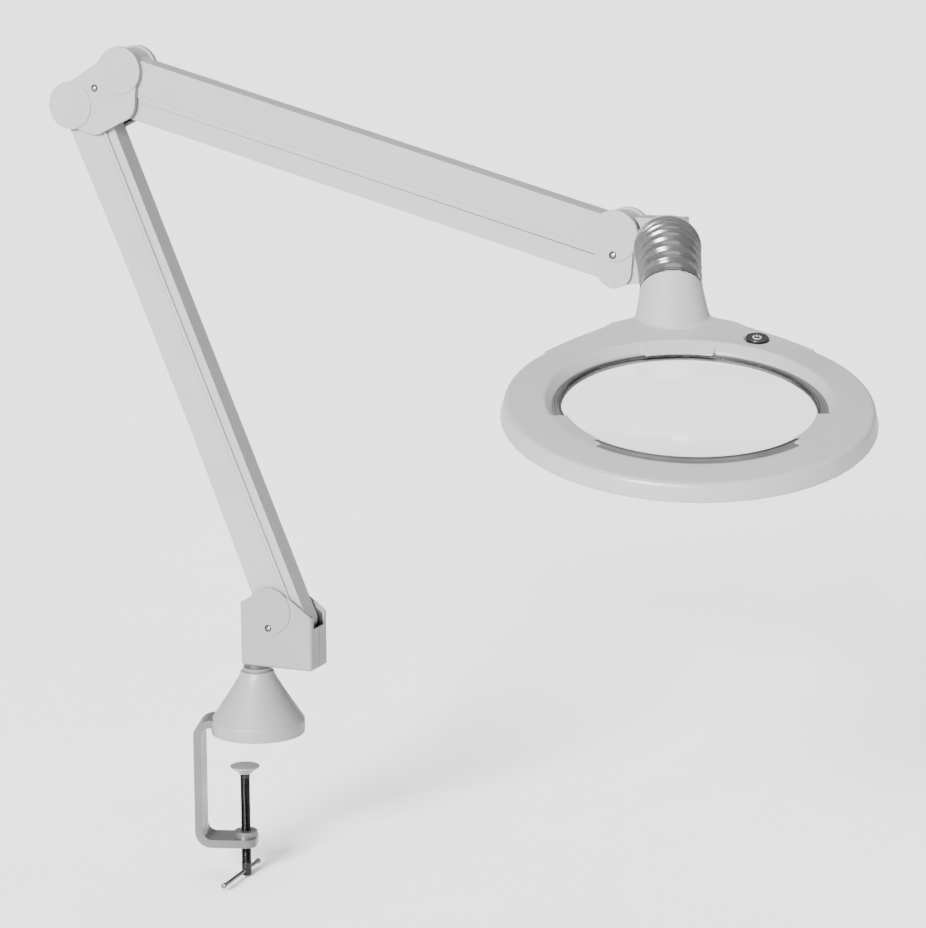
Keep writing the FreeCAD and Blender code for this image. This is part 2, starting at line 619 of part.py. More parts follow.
def tab_shape(middle, tip):
    """Lens tab that slopes from the lip to its tip height, clear of the gasket."""
    wedge = turned([("tab_rad", tip - 3), ("tab_rad", tip - 0.4), ("tab_rad+0.6", tip + 0.05),
                    (91.6, -0.02), (91.6, tip - 3)])
    wedge.Angle = 32
    doc.recompute()
    piece = wedge.Shape.copy()
    piece.rotate(Vector(), Z, middle - 16)
    below = Part.makeBox(300, 300, 60, Vector(-150, -150, 0.06 - 60))
    below.Placement = LENS_LEAN
    return piece.cut(below)


def housing_shape():
    ring = turned([("seat_rad", 0), ("lip_rad", 0), (104, -0.7), ("rim_rad-2.6", -1.4),
                   ("rim_rad-0.8", -2.1), ("rim_rad", -3.6), ("wall_rad", "-head_deep"),
                   ("seat_rad", "-head_deep")])
    gutter = turned([("seat_rad+2.2", -20), ("seat_rad+2.2", -9.4), (94, -3.0), (104, -3.0),
                     ("rim_rad-2.6", -4.4), ("wall_rad-2.2", "-head_deep"), ("wall_rad-2.2", -20)])
    doc.recompute()
    opening = Part.makeCylinder(size("lip_rad") + 0.3, 80, Vector(0, 0, -40))
    core = Part.makeCylinder(96, 80, Vector(0, 0, -40))
    outside = ring.Shape.cut(recess_shape(-1.2))
    outside = outside.fuse([shoulder_solid(0).cut(opening), neck_solid(0).cut(opening)])
    hollow = gutter.Shape.fuse([shoulder_solid(2.0).cut(core), neck_solid(2.2).cut(core)])
    shape = outside.cut(hollow)
    tips = [LENS_LEAN.multVec(Vector(0, size("tab_rad") * math.sin(math.radians(a)), 0)).z for a in TABS]
    shape = shape.fuse([tab_shape(middle, tip + 0.85) for middle, tip in zip(TABS, tips)])
    hole = Part.makeCylinder(size("button_rad") + 0.35, 30, Vector(BUTTON_AT[0], BUTTON_AT[1], -6.0), Z)
    return shape.cut(hole).removeSplitter()


def build_head():
    place = head_place()
    node("head_housing", shape_object(housing_shape()), place)
    bend = joint_place()
    node("bellows", shape_object(bellows_shape()), bend)

    # tongue that the tilt pin passes through, with a cap closing the neck's end
    rise = math.radians(NECK_RISE)
    down = Vector(0, -math.cos(rise), -math.sin(rise))
    tongue = Part.makeCylinder(5.0, 9.2, TILT_CENTRE - X * 4.6, X)
    shank = Part.makeBox(9.2, 9.0, 34, Vector(-4.6, -4.5, 0))
    shank.Placement = Placement(TILT_CENTRE, Rotation(Z, down))
    disc = Part.makeCylinder(18.8, 2.5, NECK_TOP + down * 0.2, down)
    tongue = tongue.multiFuse([shank, disc.common(neck_solid(2.25))])
    tongue = tongue.cut(Part.makeCylinder(2.5 + size("run_fit"), 20, TILT_CENTRE - X * 10, X))
    node("neck_tongue", shape_object(tongue), place)

    # both faces are shallow domes, with the balls' own poles kept out at the rim
    lens_place = place.multiply(LENS_LEAN)
    top_ball = Part.makeSphere(820.1, Vector(0, 0, -817.3), X)
    low_ball = Part.makeSphere(861.4, Vector(0, 0, 853.1), X)
    blank = Part.makeCylinder(size("lens_rad"), 14, Vector(0, 0, -10), Z)
    node("lens", shape_object(blank.common(top_ball).common(low_ball)), lens_place)
    gasket = turned([("tab_rad+0.8", -1.15), ("tab_rad+0.8", 0), (95, 0), (95, -1.15), (83.9, -1.15),
                     (83.9, -4.2), (82.6, -4.2), (82.6, -1.15)])
    doc.recompute()
    well = recess_shape(-1.3)
    well.Placement = LENS_LEAN.inverse().multiply(well.Placement)
    node("lens_gasket", shape_object(gasket.Shape.common(well)), lens_place)
    node("lens_ring", turned([("tab_rad+0.2", -4.7), (83.9, -4.7), (83.9, -5.9), ("tab_rad+0.2", -5.9)]),
         lens_place)

    cover = turned([(86.7, -11.0), (91.0, -11.0), (91.0, -12.8), (86.7, -12.8)])
    outer = turned([(108.5, -11.0), ("wall_rad-2.6", -11.0), ("wall_rad-2.35", -12.8), (108.5, -12.8)])
    spokes = copies_round(box(24.3, 5, 1.2, (87.2, -2.5, -11.0)), 3, 30)
    node("led_cover", fuse(cover, outer, spokes), place)
    glass = turned([(91.1, -12.8), (108.4, -12.8), (108.4, -11.2), (91.1, -11.2)])
    node("diffuser", glass, place)
    bx, by = BUTTON_AT
    board = turned([(92.5, -7.4), (108, -7.4), (108, -6.0), (92.5, -6.0)])
    chips = copies_round(box(3, 3, 1.3, (98.5, -1.5, -8.6)), 36, 5)
    node("led_board", fuse(board, chips), place)
    node("power_button", cylinder("button_rad", 5.1, (bx, by, -4.2)), place)
    node("button_switch", box(7, 7, 0.7, (bx - 3.5, by - 3.5, -6.0)), place)


build_clamp()
build_base()
build_arm("lower", BASE_PIVOT, LOW_ANGLE, LOW_LINK,
          [(-4, 10.4), (26, 10.4), (143, 8.2), (274, 8.0), (380, 10.1), (404, 10.4)],
          -15.4, (21.7, 205, 284))
build_elbow()
build_arm("upper", ELBOW_HIGH, HIGH_ANGLE, HIGH_LINK, [(-4, 11.0), (404, 11.0)], -13.4,
          (24.0, 236, 320))
build_head_bracket()
build_head_joint()
build_head()
doc.recompute()

for name, obj in NODES.items():
    bad = {"Invalid", "Error"} & set(obj.State)
    if bad or obj.Shape.isNull() or not obj.Shape.isValid() or obj.Shape.Volume < 1:
        raise RuntimeError("%s did not build: %s" % (name, obj.State))
    obj.Shape.exportStep("parts/%s.step" % name)
    print(name, len(obj.Shape.Solids), round(obj.Shape.Volume), obj.Shape.BoundBox)
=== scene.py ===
import json
import math
from functools import partial

import bmesh
import bpy
import numpy as np
from mathutils import Matrix, Vector


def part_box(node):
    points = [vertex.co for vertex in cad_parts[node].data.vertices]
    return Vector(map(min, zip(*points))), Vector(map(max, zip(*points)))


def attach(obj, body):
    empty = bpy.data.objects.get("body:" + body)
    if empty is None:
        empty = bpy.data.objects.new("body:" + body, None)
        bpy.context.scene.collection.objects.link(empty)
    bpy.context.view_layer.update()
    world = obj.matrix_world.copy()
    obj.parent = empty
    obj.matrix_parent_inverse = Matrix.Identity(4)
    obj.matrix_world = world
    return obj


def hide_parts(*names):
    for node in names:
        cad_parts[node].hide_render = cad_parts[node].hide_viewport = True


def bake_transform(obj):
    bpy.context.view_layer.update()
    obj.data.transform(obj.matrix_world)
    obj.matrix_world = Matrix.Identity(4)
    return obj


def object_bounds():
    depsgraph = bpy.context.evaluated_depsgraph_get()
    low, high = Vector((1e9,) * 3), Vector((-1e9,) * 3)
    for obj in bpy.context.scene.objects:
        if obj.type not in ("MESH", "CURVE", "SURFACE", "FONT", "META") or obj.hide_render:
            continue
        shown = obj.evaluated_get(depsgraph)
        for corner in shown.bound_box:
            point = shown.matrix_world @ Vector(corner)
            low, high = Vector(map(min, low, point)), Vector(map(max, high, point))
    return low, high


# Bench magnifier lamp: surface, edge and small-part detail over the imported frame.
# Lengths inside the shapes are in millimetres and angles in degrees, unless said.

MM = 0.001
LOWER_ANGLE, UPPER_ANGLE = 113.16, -15.27     # the arms' rise from level
LOWER_LENGTH = 0.4                            # between the lower arm's pivots, metres
THREAD_PITCH = 1.25
COIL_RADIUS, WIRE_RADIUS, HOOK_RADIUS = 4.05, 0.95, 4.35
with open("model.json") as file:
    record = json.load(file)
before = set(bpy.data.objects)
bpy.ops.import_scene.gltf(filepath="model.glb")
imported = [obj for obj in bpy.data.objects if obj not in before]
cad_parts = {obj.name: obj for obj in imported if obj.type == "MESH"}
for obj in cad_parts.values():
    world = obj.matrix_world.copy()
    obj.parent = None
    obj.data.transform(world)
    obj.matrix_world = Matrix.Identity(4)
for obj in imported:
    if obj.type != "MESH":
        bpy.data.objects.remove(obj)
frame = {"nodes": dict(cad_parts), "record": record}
nodes = frame["nodes"]


def lists(bounds):
    return [list(corner) for corner in bounds]


cad_bounds = lists(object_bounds())


# ---------------------------------------------------------------- materials
class Shader:
    """One procedural material built on object coordinates, in metres."""

    def __init__(self, name):
        self.material = bpy.data.materials.new(name)
        self.material.use_nodes = True
        self.tree = self.material.node_tree
        self.surface = self.tree.nodes["Principled BSDF"]
        coords = self.tree.nodes.new("ShaderNodeTexCoord")
        self.where = coords.outputs["Object"]

    def put(self, **values):
        for socket, value in values.items():
            self.surface.inputs[socket.replace("_", " ")].default_value = value

    def link(self, start, end):
        self.tree.links.new(start, end)

    def noise(self, scale, detail=2.0, stretch=(1, 1, 1)):
        mapping = self.tree.nodes.new("ShaderNodeMapping")
        mapping.inputs["Scale"].default_value = stretch
        self.link(self.where, mapping.inputs["Vector"])
        node = self.tree.nodes.new("ShaderNodeTexNoise")
        node.inputs["Scale"].default_value = scale
        node.inputs["Detail"].default_value = detail
        self.link(mapping.outputs["Vector"], node.inputs["Vector"])
        return node.outputs["Fac"]

    def ramp(self, factor, low, high, start=0.3, stop=0.7):
        node = self.tree.nodes.new("ShaderNodeValToRGB")
        node.color_ramp.elements[0].position = start
        node.color_ramp.elements[1].position = stop
        node.color_ramp.elements[0].color = low
        node.color_ramp.elements[1].color = high
        self.link(factor, node.inputs["Fac"])
        return node.outputs["Color"]

    def multiply(self, first, second):
        node = self.tree.nodes.new("ShaderNodeMix")
        node.data_type = "RGBA"
        node.blend_type = "MULTIPLY"
        node.inputs["Factor"].default_value = 1.0
        self.link(first, node.inputs["A"])
        self.link(second, node.inputs["B"])
        return node.outputs["Result"]

    def bump(self, height, strength, distance):
        node = self.tree.nodes.new("ShaderNodeBump")
        node.inputs["Strength"].default_value = strength
        node.inputs["Distance"].default_value = distance
        self.link(height, node.inputs["Height"])
        return node


def grey(level, warm=0.0):
    return (level * (1 + warm), level, level * (1 - warm), 1.0)


def painted(name, level, warm=0.01, rough=(0.36, 0.5), grain=900.0, depth=0.00004, metallic=0.0,
            speckle=0.05):
    """Satin coat: soft tone drift, fine speckle, grainy bump and uneven gloss."""
    shade = Shader(name)
    drift = shade.ramp(shade.noise(14.0, 3.0), grey(level * 0.965, warm), grey(level * 1.03, warm))
    fleck = shade.ramp(shade.noise(grain * 1.7, 2.0), grey(1 - speckle), grey(1.0), 0.35, 0.6)
    shade.link(shade.multiply(drift, fleck), shade.surface.inputs["Base Color"])
    sheen = shade.ramp(shade.noise(55.0, 4.0), grey(rough[0]), grey(rough[1]))
    shade.link(sheen, shade.surface.inputs["Roughness"])
    fine = shade.bump(shade.noise(grain, 2.0), 0.35, depth)
    wave = shade.bump(shade.noise(70.0, 2.0), 0.12, depth * 4)
    shade.link(fine.outputs["Normal"], wave.inputs["Normal"])
    shade.link(wave.outputs["Normal"], shade.surface.inputs["Normal"])
    shade.put(Metallic=metallic)
    return shade.material


def metal(name, level, rough, stretch=(1, 1, 1)):
    """Bare or plated metal with tool marks along one direction."""
    shade = Shader(name)
    marks = shade.noise(900.0, 3.0, stretch)
    tone = shade.ramp(marks, grey(level * 0.85), grey(level * 1.1))
    haze = shade.ramp(shade.noise(40.0, 3.0), grey(0.86), grey(1.0))
    shade.link(shade.multiply(tone, haze), shade.surface.inputs["Base Color"])
    shade.link(shade.ramp(marks, grey(rough[0]), grey(rough[1])), shade.surface.inputs["Roughness"])
    shade.link(shade.bump(marks, 0.25, 0.00002).outputs["Normal"], shade.surface.inputs["Normal"])
    shade.put(Metallic=1.0)
    return shade.material


def rubbery(name, level, rough, coat=0.0, depth=0.00005, scale=500.0):
    """Moulded rubber: cloudy tone, dusty patches and a faint skin texture."""
    shade = Shader(name)
    cloud = shade.ramp(shade.noise(45.0, 4.0), grey(level * 0.8), grey(level * 1.25))
    dust = shade.ramp(shade.noise(420.0, 3.0), grey(0.92), grey(1.0))
    shade.link(shade.multiply(cloud, dust), shade.surface.inputs["Base Color"])
    shade.link(shade.ramp(shade.noise(90.0, 3.0), grey(rough[0]), grey(rough[1])),
               shade.surface.inputs["Roughness"])
    shade.link(shade.bump(shade.noise(scale), 0.3, depth).outputs["Normal"],
               shade.surface.inputs["Normal"])
    shade.put(Coat_Weight=coat, Coat_Roughness=0.15)
    return shade.material


def lens_glass():
    """Clear polished glass with a very faint tint change and surface ripple."""
    shade = Shader("lens_glass")
    tint = shade.ramp(shade.noise(9.0), (0.985, 1.0, 0.995, 1), (1, 1, 1, 1))
    shade.link(tint, shade.surface.inputs["Base Color"])
    shade.link(shade.ramp(shade.noise(30.0, 3.0), grey(0.0), grey(0.012)),
               shade.surface.inputs["Roughness"])
    shade.put(Transmission_Weight=1.0, IOR=1.12, Coat_Weight=1.0, Coat_Roughness=0.01)
    return shade.material


def floor_cover():
    """Matt pale sheet with a barely visible mottle."""
    shade = Shader("floor_sheet")
    shade.link(shade.ramp(shade.noise(3.0, 4.0), grey(0.95), grey(0.97)),
               shade.surface.inputs["Base Color"])
    shade.link(shade.ramp(shade.noise(40.0), grey(0.75), grey(0.9)),
               shade.surface.inputs["Roughness"])
    shade.link(shade.bump(shade.noise(300.0), 0.05, 0.0001).outputs["Normal"],
               shade.surface.inputs["Normal"])
    return shade.material


PAINT = painted("arm_paint", 0.23, 0.006, speckle=0.09)
BRACKET = painted("bracket_plastic", 0.175, 0.006, (0.33, 0.46), 700.0, 0.00003, speckle=0.07)
SHELL = painted("shell_plastic", 0.225, 0.006, (0.33, 0.46), 700.0, 0.00003, speckle=0.07)
RING = painted("head_plastic", 0.24, 0.004, (0.3, 0.42), 800.0, 0.00002, speckle=0.07)
CONE = painted("cone_paint", 0.19, 0.008, (0.38, 0.5), speckle=0.08)
CAST = painted("cast_alloy", 0.115, 0.0, (0.28, 0.4), 500.0, 0.00008, 0.5, 0.14)
DARK_ZINC = metal("dark_zinc", 0.10, (0.35, 0.5))
PAD = painted("pad_alloy", 0.26, 0.0, (0.3, 0.42), 600.0, 0.00005, 0.3, 0.1)
STEEL = metal("turned_steel", 0.55, (0.18, 0.32), (1, 1, 8))
BAR = metal("tommy_steel", 0.2, (0.24, 0.38), (1, 1, 8))
BRIGHT = metal("bright_screw", 0.62, (0.12, 0.24))
BLACK_ROD = metal("black_rod", 0.035, (0.22, 0.36), (1, 1, 6))
WIRE = metal("spring_wire", 0.22, (0.25, 0.4))
ALLOY = painted("die_cast", 0.3, 0.0, (0.35, 0.5), 500.0, 0.00006, 0.5)
SWIVEL = rubbery("bellows_rubber", 0.04, (0.16, 0.28), 0.4)
BLACK = rubbery("black_rubber", 0.018, (0.4, 0.6))
RIBBED = rubbery("ribbed_rubber", 0.06, (0.35, 0.5))
BUTTON = rubbery("button_gloss", 0.006, (0.22, 0.32), 0.15, 0.00002, 900.0)
SYMBOL = painted("symbol_ink", 0.45, 0.0, (0.3, 0.4), 900.0, 0.00001)
# The swivel bush is kept dark as painted shade of the narrow gap between the base housing and the cone.
BUSH_PAINTED_SHADE = painted("bush_painted_shade", 0.12, 0.0, (0.4, 0.55))
BOARD = painted("board_mask", 0.7, 0.0, (0.3, 0.45), 800.0, 0.00002)
DIFFUSE = painted("diffuser_sheet", 0.82, 0.01, (0.2, 0.3), 1200.0, 0.00002)
GLASS = lens_glass()

FINISH = {
    "clamp_frame": CAST, "base_cone": CONE, "socket_tube": STEEL, "swivel_bush": BUSH_PAINTED_SHADE,
    "frame_bolt": STEEL, "jaw_plate": STEEL, "jaw_pad": BLACK, "jaw_screws": STEEL,
    "pressure_pad": PAD, "clamp_screw": BLACK_ROD, "tommy_bar": BAR,
    "base_shell_front": BRACKET, "base_shell_back": BRACKET, "base_core": DARK_ZINC, "base_pin": DARK_ZINC,
    "base_pivots": STEEL, "base_screws": BRIGHT, "lower_channel": PAINT, "lower_link_channel": PAINT,
    "lower_spring": WIRE, "elbow_shell_front": SHELL, "elbow_shell_back": SHELL,
    "elbow_core": DARK_ZINC, "elbow_pivots": STEEL, "elbow_screws": BRIGHT, "upper_channel": PAINT,
    "upper_link_channel": PAINT, "upper_spring": WIRE, "head_shell_front": SHELL,
    "head_shell_back": SHELL, "head_core": SHELL, "head_pivots": STEEL, "head_screws": BRIGHT,
    "swivel_pin": STEEL, "swivel_knuckle": ALLOY, "roll_retainer": STEEL, "tilt_yoke": SHELL,
    "tilt_pin": STEEL, "bellows": SWIVEL, "neck_tongue": ALLOY, "head_housing": RING, "lens": GLASS,
    "lens_gasket": BLACK, "lens_ring": BLACK, "led_cover": RING, "diffuser": DIFFUSE, "led_board": BOARD,
    "power_button": BUTTON, "button_switch": BLACK,
}
for name, node in nodes.items():
    node.data.materials.clear()
    node.data.materials.append(FINISH[name])


# ---------------------------------------------------------------- mesh helpers
BODY_OF = {}
for body, members in frame["record"]["behaviour"]["bodies"].items():
    for member in members:
        BODY_OF[member] = body


def into_scene(name, data):
    thing = bpy.data.objects.new(name, data)
    bpy.context.scene.collection.objects.link(thing)
    return thing


def add_piece(name, mesh, material, sharp=35.0):
    """A smooth-shaded visible piece with the given material."""
    piece = into_scene(name, mesh)
    mesh.materials.clear()
    mesh.materials.append(material)
    mesh.polygons.foreach_set("use_smooth", [True] * len(mesh.polygons))
    mesh.set_sharp_from_angle(angle=math.radians(sharp))
    return piece


def carried(piece, node):
    """Move the piece with the node's body and hide the node it is drawn in place of."""
    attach(piece, BODY_OF[node])
    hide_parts(node)
    return piece


def mesh_of(bm, name):
    mesh = bpy.data.meshes.new(name)
    bm.normal_update()
    bm.to_mesh(mesh)
    bm.free()
    return mesh


def clean_copy(node):
    """The node's own surface, welded and with flat faces merged."""
    bm = bmesh.new()
    bm.from_mesh(nodes[node].data)
    bmesh.ops.remove_doubles(bm, verts=bm.verts, dist=2e-6)
    bmesh.ops.dissolve_limit(bm, angle_limit=math.radians(0.8), verts=bm.verts, edges=bm.edges)
    return bm


def softened(node, width, segments=2, angle=32.0, broad=0.0):
    """Copy of a hard-edged node with its sharp edges broken by a small round.

    With broad, only convex edges between faces of more than that many square
    millimetres are rounded, and the seam on the middle plane far less.
    """
    surface = clean_copy(node)
    seam_reach, seam_weight = 1.5 * MM, 0.2
    if broad:
        weights = surface.edges.layers.float.new("bevel_weight_edge")
        for edge in surface.edges:
            sharp = edge.is_convex and edge.calc_face_angle(0.0) > math.radians(angle)
            area = min(face.calc_area() for face in edge.link_faces)
            seam = all(abs(vert.co.y) < seam_reach for vert in edge.verts)
            chosen = sharp and area > broad * MM * MM
            edge[weights] = (seam_weight if seam else 1.0) if chosen else 0.0
    mesh = mesh_of(surface, node + "_mesh")
    piece = add_piece(node + "_finished", mesh, FINISH[node])
    round_over = piece.modifiers.new("edge_round", "BEVEL")
    round_over.width = width * MM
    round_over.segments = segments
    round_over.limit_method = "WEIGHT" if broad else "ANGLE"
    round_over.angle_limit = math.radians(angle)
    round_over.use_clamp_overlap = not broad
    even = piece.modifiers.new("even_shading", "WEIGHTED_NORMAL")
    even.keep_sharp = True
    return carried(piece, node)


def grid_mesh(name, rows, close_rows=False):
    """Skin a list of point rows; columns run round, rows run along."""
    rows = np.asarray(rows)
    count, width = rows.shape[:2]
    faces = []
    last_row = count if close_rows else count - 1
    for i in range(last_row):
        for j in range(width):
            a, b = i * width + j, i * width + (j + 1) % width
            c, d = ((i + 1) % count) * width + (j + 1) % width, ((i + 1) % count) * width + j
            faces.append((a, b, c, d))
    mesh = bpy.data.meshes.new(name)
    mesh.from_pydata([tuple(p) for p in rows.reshape(-1, 3)], [], faces)
    mesh.update()
    bm = bmesh.new()
    bm.from_mesh(mesh)
    bmesh.ops.remove_doubles(bm, verts=bm.verts, dist=1e-7)
    bmesh.ops.recalc_face_normals(bm, faces=bm.faces)
    bm.to_mesh(mesh)
    bm.free()
    return mesh


def placed(matrix, point):
    """A millimetre point of a local frame, as a tuple in the scene's metres."""
    return tuple(matrix @ (Vector(point) * MM))


def circle(matrix, radius, height, steps):
    """Points round local Z; radius is a number or a function of the angle."""
    ring = []
    for j in range(steps):
        angle = 2 * math.pi * j / steps
        r = radius(angle) if callable(radius) else radius
        ring.append(placed(matrix, (r * math.cos(angle), r * math.sin(angle), height)))
    return ring


def lathe(name, profile, matrix, steps=128):
    """Turned piece from (radius, height) points in millimetres, about local Z."""
    return grid_mesh(name, [circle(matrix, radius, height, steps) for radius, height in profile])


def cut_away(piece, tool_mesh, crossing=False):
    """Take a tool shape out of a piece; crossing is for a tool that cuts itself."""
    tool = into_scene(tool_mesh.name, tool_mesh)
    cut = piece.modifiers.new("cut", "BOOLEAN")
    cut.object = tool
    cut.solver = "EXACT"
    cut.use_self = crossing
    graph = bpy.context.evaluated_depsgraph_get()
    piece.data = bpy.data.meshes.new_from_object(piece.evaluated_get(graph))
    piece.modifiers.clear()
    bpy.data.objects.remove(tool)


def arc(cx, cy, radius, start, stop, steps=5):
    """Points of a small fillet in a profile, angles in degrees."""
    points = []
    for i in range(steps + 1):
        angle = math.radians(start + (stop - start) * i / steps)
        points.append((cx + radius * math.cos(angle), cy + radius * math.sin(angle)))
    return points


# ---------------------------------------------------------------- places of the head pieces
# JOINT is the upright pin at the arm's end, HEAD the middle of the ring's top.
YAW, TILT = math.radians(24.3), math.radians(15.8)
JOINT = Matrix.Translation((0.320, 0, 0.3788)) @ Matrix.Rotation(YAW, 4, "Z")
TILT_POINT = JOINT @ Vector((0, -0.029, 0))
HEAD_TURN = Matrix.Rotation(YAW, 4, "Z") @ Matrix.Rotation(TILT, 4, "X")
HEAD = Matrix.Translation(TILT_POINT - HEAD_TURN @ Vector((0, 0.1778, 0.0267))) @ HEAD_TURN
LENS_LEAN = math.radians(-1.92)
LEAN_SLOPE = math.tan(-LENS_LEAN)
LENS_PLACE = HEAD @ Matrix.Translation((0, 0, -0.0033)) @ Matrix.Rotation(LENS_LEAN, 4, "X")
CLAMP = Matrix.Rotation(math.radians(19.2), 4, "Z")
SCREW = Matrix.Translation(CLAMP @ Vector((-0.0107, 0, 0))) @ Matrix.Rotation(math.radians(3.6), 4, "Z")


# ---------------------------------------------------------------- ring head
def voxel_copy(node, matrix, size_mm):
    """Even quad skin of a node, in the head's own frame."""
    mesh = mesh_of(clean_copy(node), node + "_raw")
    mesh.transform(matrix.inverted())
    helper = into_scene(node + "_helper", mesh)
    remesh = helper.modifiers.new("skin", "REMESH")
    remesh.mode = "VOXEL"
    remesh.voxel_size = size_mm * MM
    graph = bpy.context.evaluated_depsgraph_get()
    result = bpy.data.meshes.new_from_object(helper.evaluated_get(graph))
    bpy.data.objects.remove(helper)
    return result


def relax(points, edges, weight, rounds):
    """Weighted neighbour averaging; weight 0 keeps a point where it is."""
    neighbours = np.zeros(len(points))
    np.add.at(neighbours, edges[:, 0], 1)
    np.add.at(neighbours, edges[:, 1], 1)
    for _ in range(rounds):
        total = np.zeros_like(points)
        np.add.at(total, edges[:, 0], points[edges[:, 1]])
        np.add.at(total, edges[:, 1], points[edges[:, 0]])
        points = points + weight[:, None] * (total / neighbours[:, None] - points)
    return points


def smooth_step(value, low, high):
    t = np.clip((value - low) / (high - low), 0, 1)
    return t * t * (3 - 2 * t)


def make_housing():
    """Ring shell with the neck's foot flowing into the shoulder, and a soft rim."""
    mesh = voxel_copy("head_housing", HEAD, 0.7)
    count = len(mesh.vertices)
    points = np.zeros(count * 3)
    mesh.vertices.foreach_get("co", points)
    points = points.reshape(-1, 3)
    edges = np.zeros(len(mesh.edges) * 2, int)
    mesh.edges.foreach_get("vertices", edges)
    edges = edges.reshape(-1, 2)
    points = relax(points, edges, np.full(count, 0.4), 5)
    mm = points / MM
    radius = np.hypot(mm[:, 0], mm[:, 1])
    neck_rise = math.radians(29.2)
    neck_back = np.array([0, -math.cos(neck_rise), -math.sin(neck_rise)])
    neck_mouth = np.array([0, 149.4, 10.9])
    below_rim = (mm - neck_mouth) @ neck_back
    # The corner between the neck's foot and the shoulder is rounded into a fillet.
    blend_zone = smooth_step(mm[:, 1], 62, 78) * smooth_step(radius, 96, 101)
    blend_zone *= smooth_step(mm[:, 2], -11, -7) * smooth_step(below_rim, 5, 12)
    points = relax(points, edges, 0.5 * blend_zone, 9)
    # The shoulder's front corners sink into the ring's rounded rim.
    lifted = smooth_step(mm[:, 1], 72, 104)
    rim_top = np.interp(radius, [97, 104, 115.9, 117.7, 118.5], [0, -0.7, -1.4, -2.1, -3.6])
    ceiling = (rim_top + lifted * (-0.35 - rim_top)) * MM
    corner = (radius > 98) & (mm[:, 1] > 50) & (mm[:, 1] < 104) & (mm[:, 2] > -6)
    points[corner, 2] = np.minimum(points[corner, 2], ceiling[corner])
    mesh.vertices.foreach_set("co", points.reshape(-1))
    mesh.transform(HEAD)
    mesh.update()
    piece = add_piece("head_housing_finished", mesh, RING, 60.0)
    return carried(piece, "head_housing")


def make_bellows():
    """Ridged sleeve drawn bent round the tilt joint as posed."""
    start, bend = Vector((0, -19.3, 0)), Vector((0, -29.0, 0))
    stop = bend + Vector((0, -math.cos(math.pi / 4), -math.sin(math.pi / 4))) * 32.2
    along, around, ridges, wall = 182, 120, 7, 2.0
    outer, inner = [], []
    for i in range(along + 1):
        f = i / along
        centre = start * (1 - f) ** 2 + bend * (2 * f * (1 - f)) + stop * f ** 2
        tip = math.radians(45 * f)
        normal = Vector((0, -math.cos(tip), -math.sin(tip)))
        side = Vector((1, 0, 0))
        up = side.cross(normal)
        wave = 0.5 + 0.5 * math.cos(2 * math.pi * ridges * f)
        radius = 20.7 - 1.6 * f + 2.1 * wave ** 2.0
        for store, r in ((outer, radius), (inner, radius - wall)):
            ring = []
            for j in range(around):
                angle = 2 * math.pi * j / around
                spoke = side * math.cos(angle) + up * math.sin(angle)
                ring.append(placed(JOINT, centre + spoke * r))
            store.append(ring)
    mesh = grid_mesh("bellows_mesh", outer + inner[::-1], close_rows=True)
    piece = add_piece("bellows_finished", mesh, SWIVEL, 60.0)
    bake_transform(piece)
    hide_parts("bellows")


def make_lens():
    """Biconvex magnifier with a ground edge."""
    rim = 82.4
    top = [(r, 2.8 - 4.15 * (r / rim) ** 2) for r in np.linspace(0, 81.9, 40)]
    low = [(r, -8.3 + 3.95 * (r / rim) ** 2) for r in np.linspace(81.9, 0, 40)]
    edge = [(82.35, -1.8), (82.35, -4.0)]
    mesh = lathe("lens_mesh", top + edge + low, LENS_PLACE, 192)
    carried(add_piece("lens_finished", mesh, GLASS, 50.0), "lens")


def width_at(share, angle):
    """Radius across the gasket: 0 at its inner lip, 1 at the sloped wall of the well."""
    outside = 90.4 - 1.25 * (3.3 + LEAN_SLOPE * 85 * math.sin(angle))
    inside = 80.45 + 1.3 * max(0.0, math.sin(angle))
    return inside + share * (outside - inside)


def make_gasket():
    """Black bead against the glass and a ribbed band out to the well wall."""
    bead = [(0.0, -1.15), (0.0, -0.25), (0.04, -0.05), (0.16, -0.02), (0.22, -0.5), (0.22, -1.15)]
    ribs = [(0.22, -1.15), (0.22, -0.5), (0.3, -0.5), (0.36, -0.04), (0.5, -0.02), (0.56, -0.45),
            (0.64, -0.45), (0.7, -0.04), (0.97, -0.02), (1.0, -0.2), (1.0, -1.15)]
    for name, section, material in (("bead", bead, BLACK), ("ribs", ribs, RIBBED)):
        rows = []
        for share, height in section:
            rows.append(circle(LENS_PLACE, partial(width_at, share), height, 240))
        mesh = grid_mesh("gasket_%s_mesh" % name, rows, close_rows=True)
        carried(add_piece("gasket_" + name, mesh, material, 30.0), "lens_gasket")


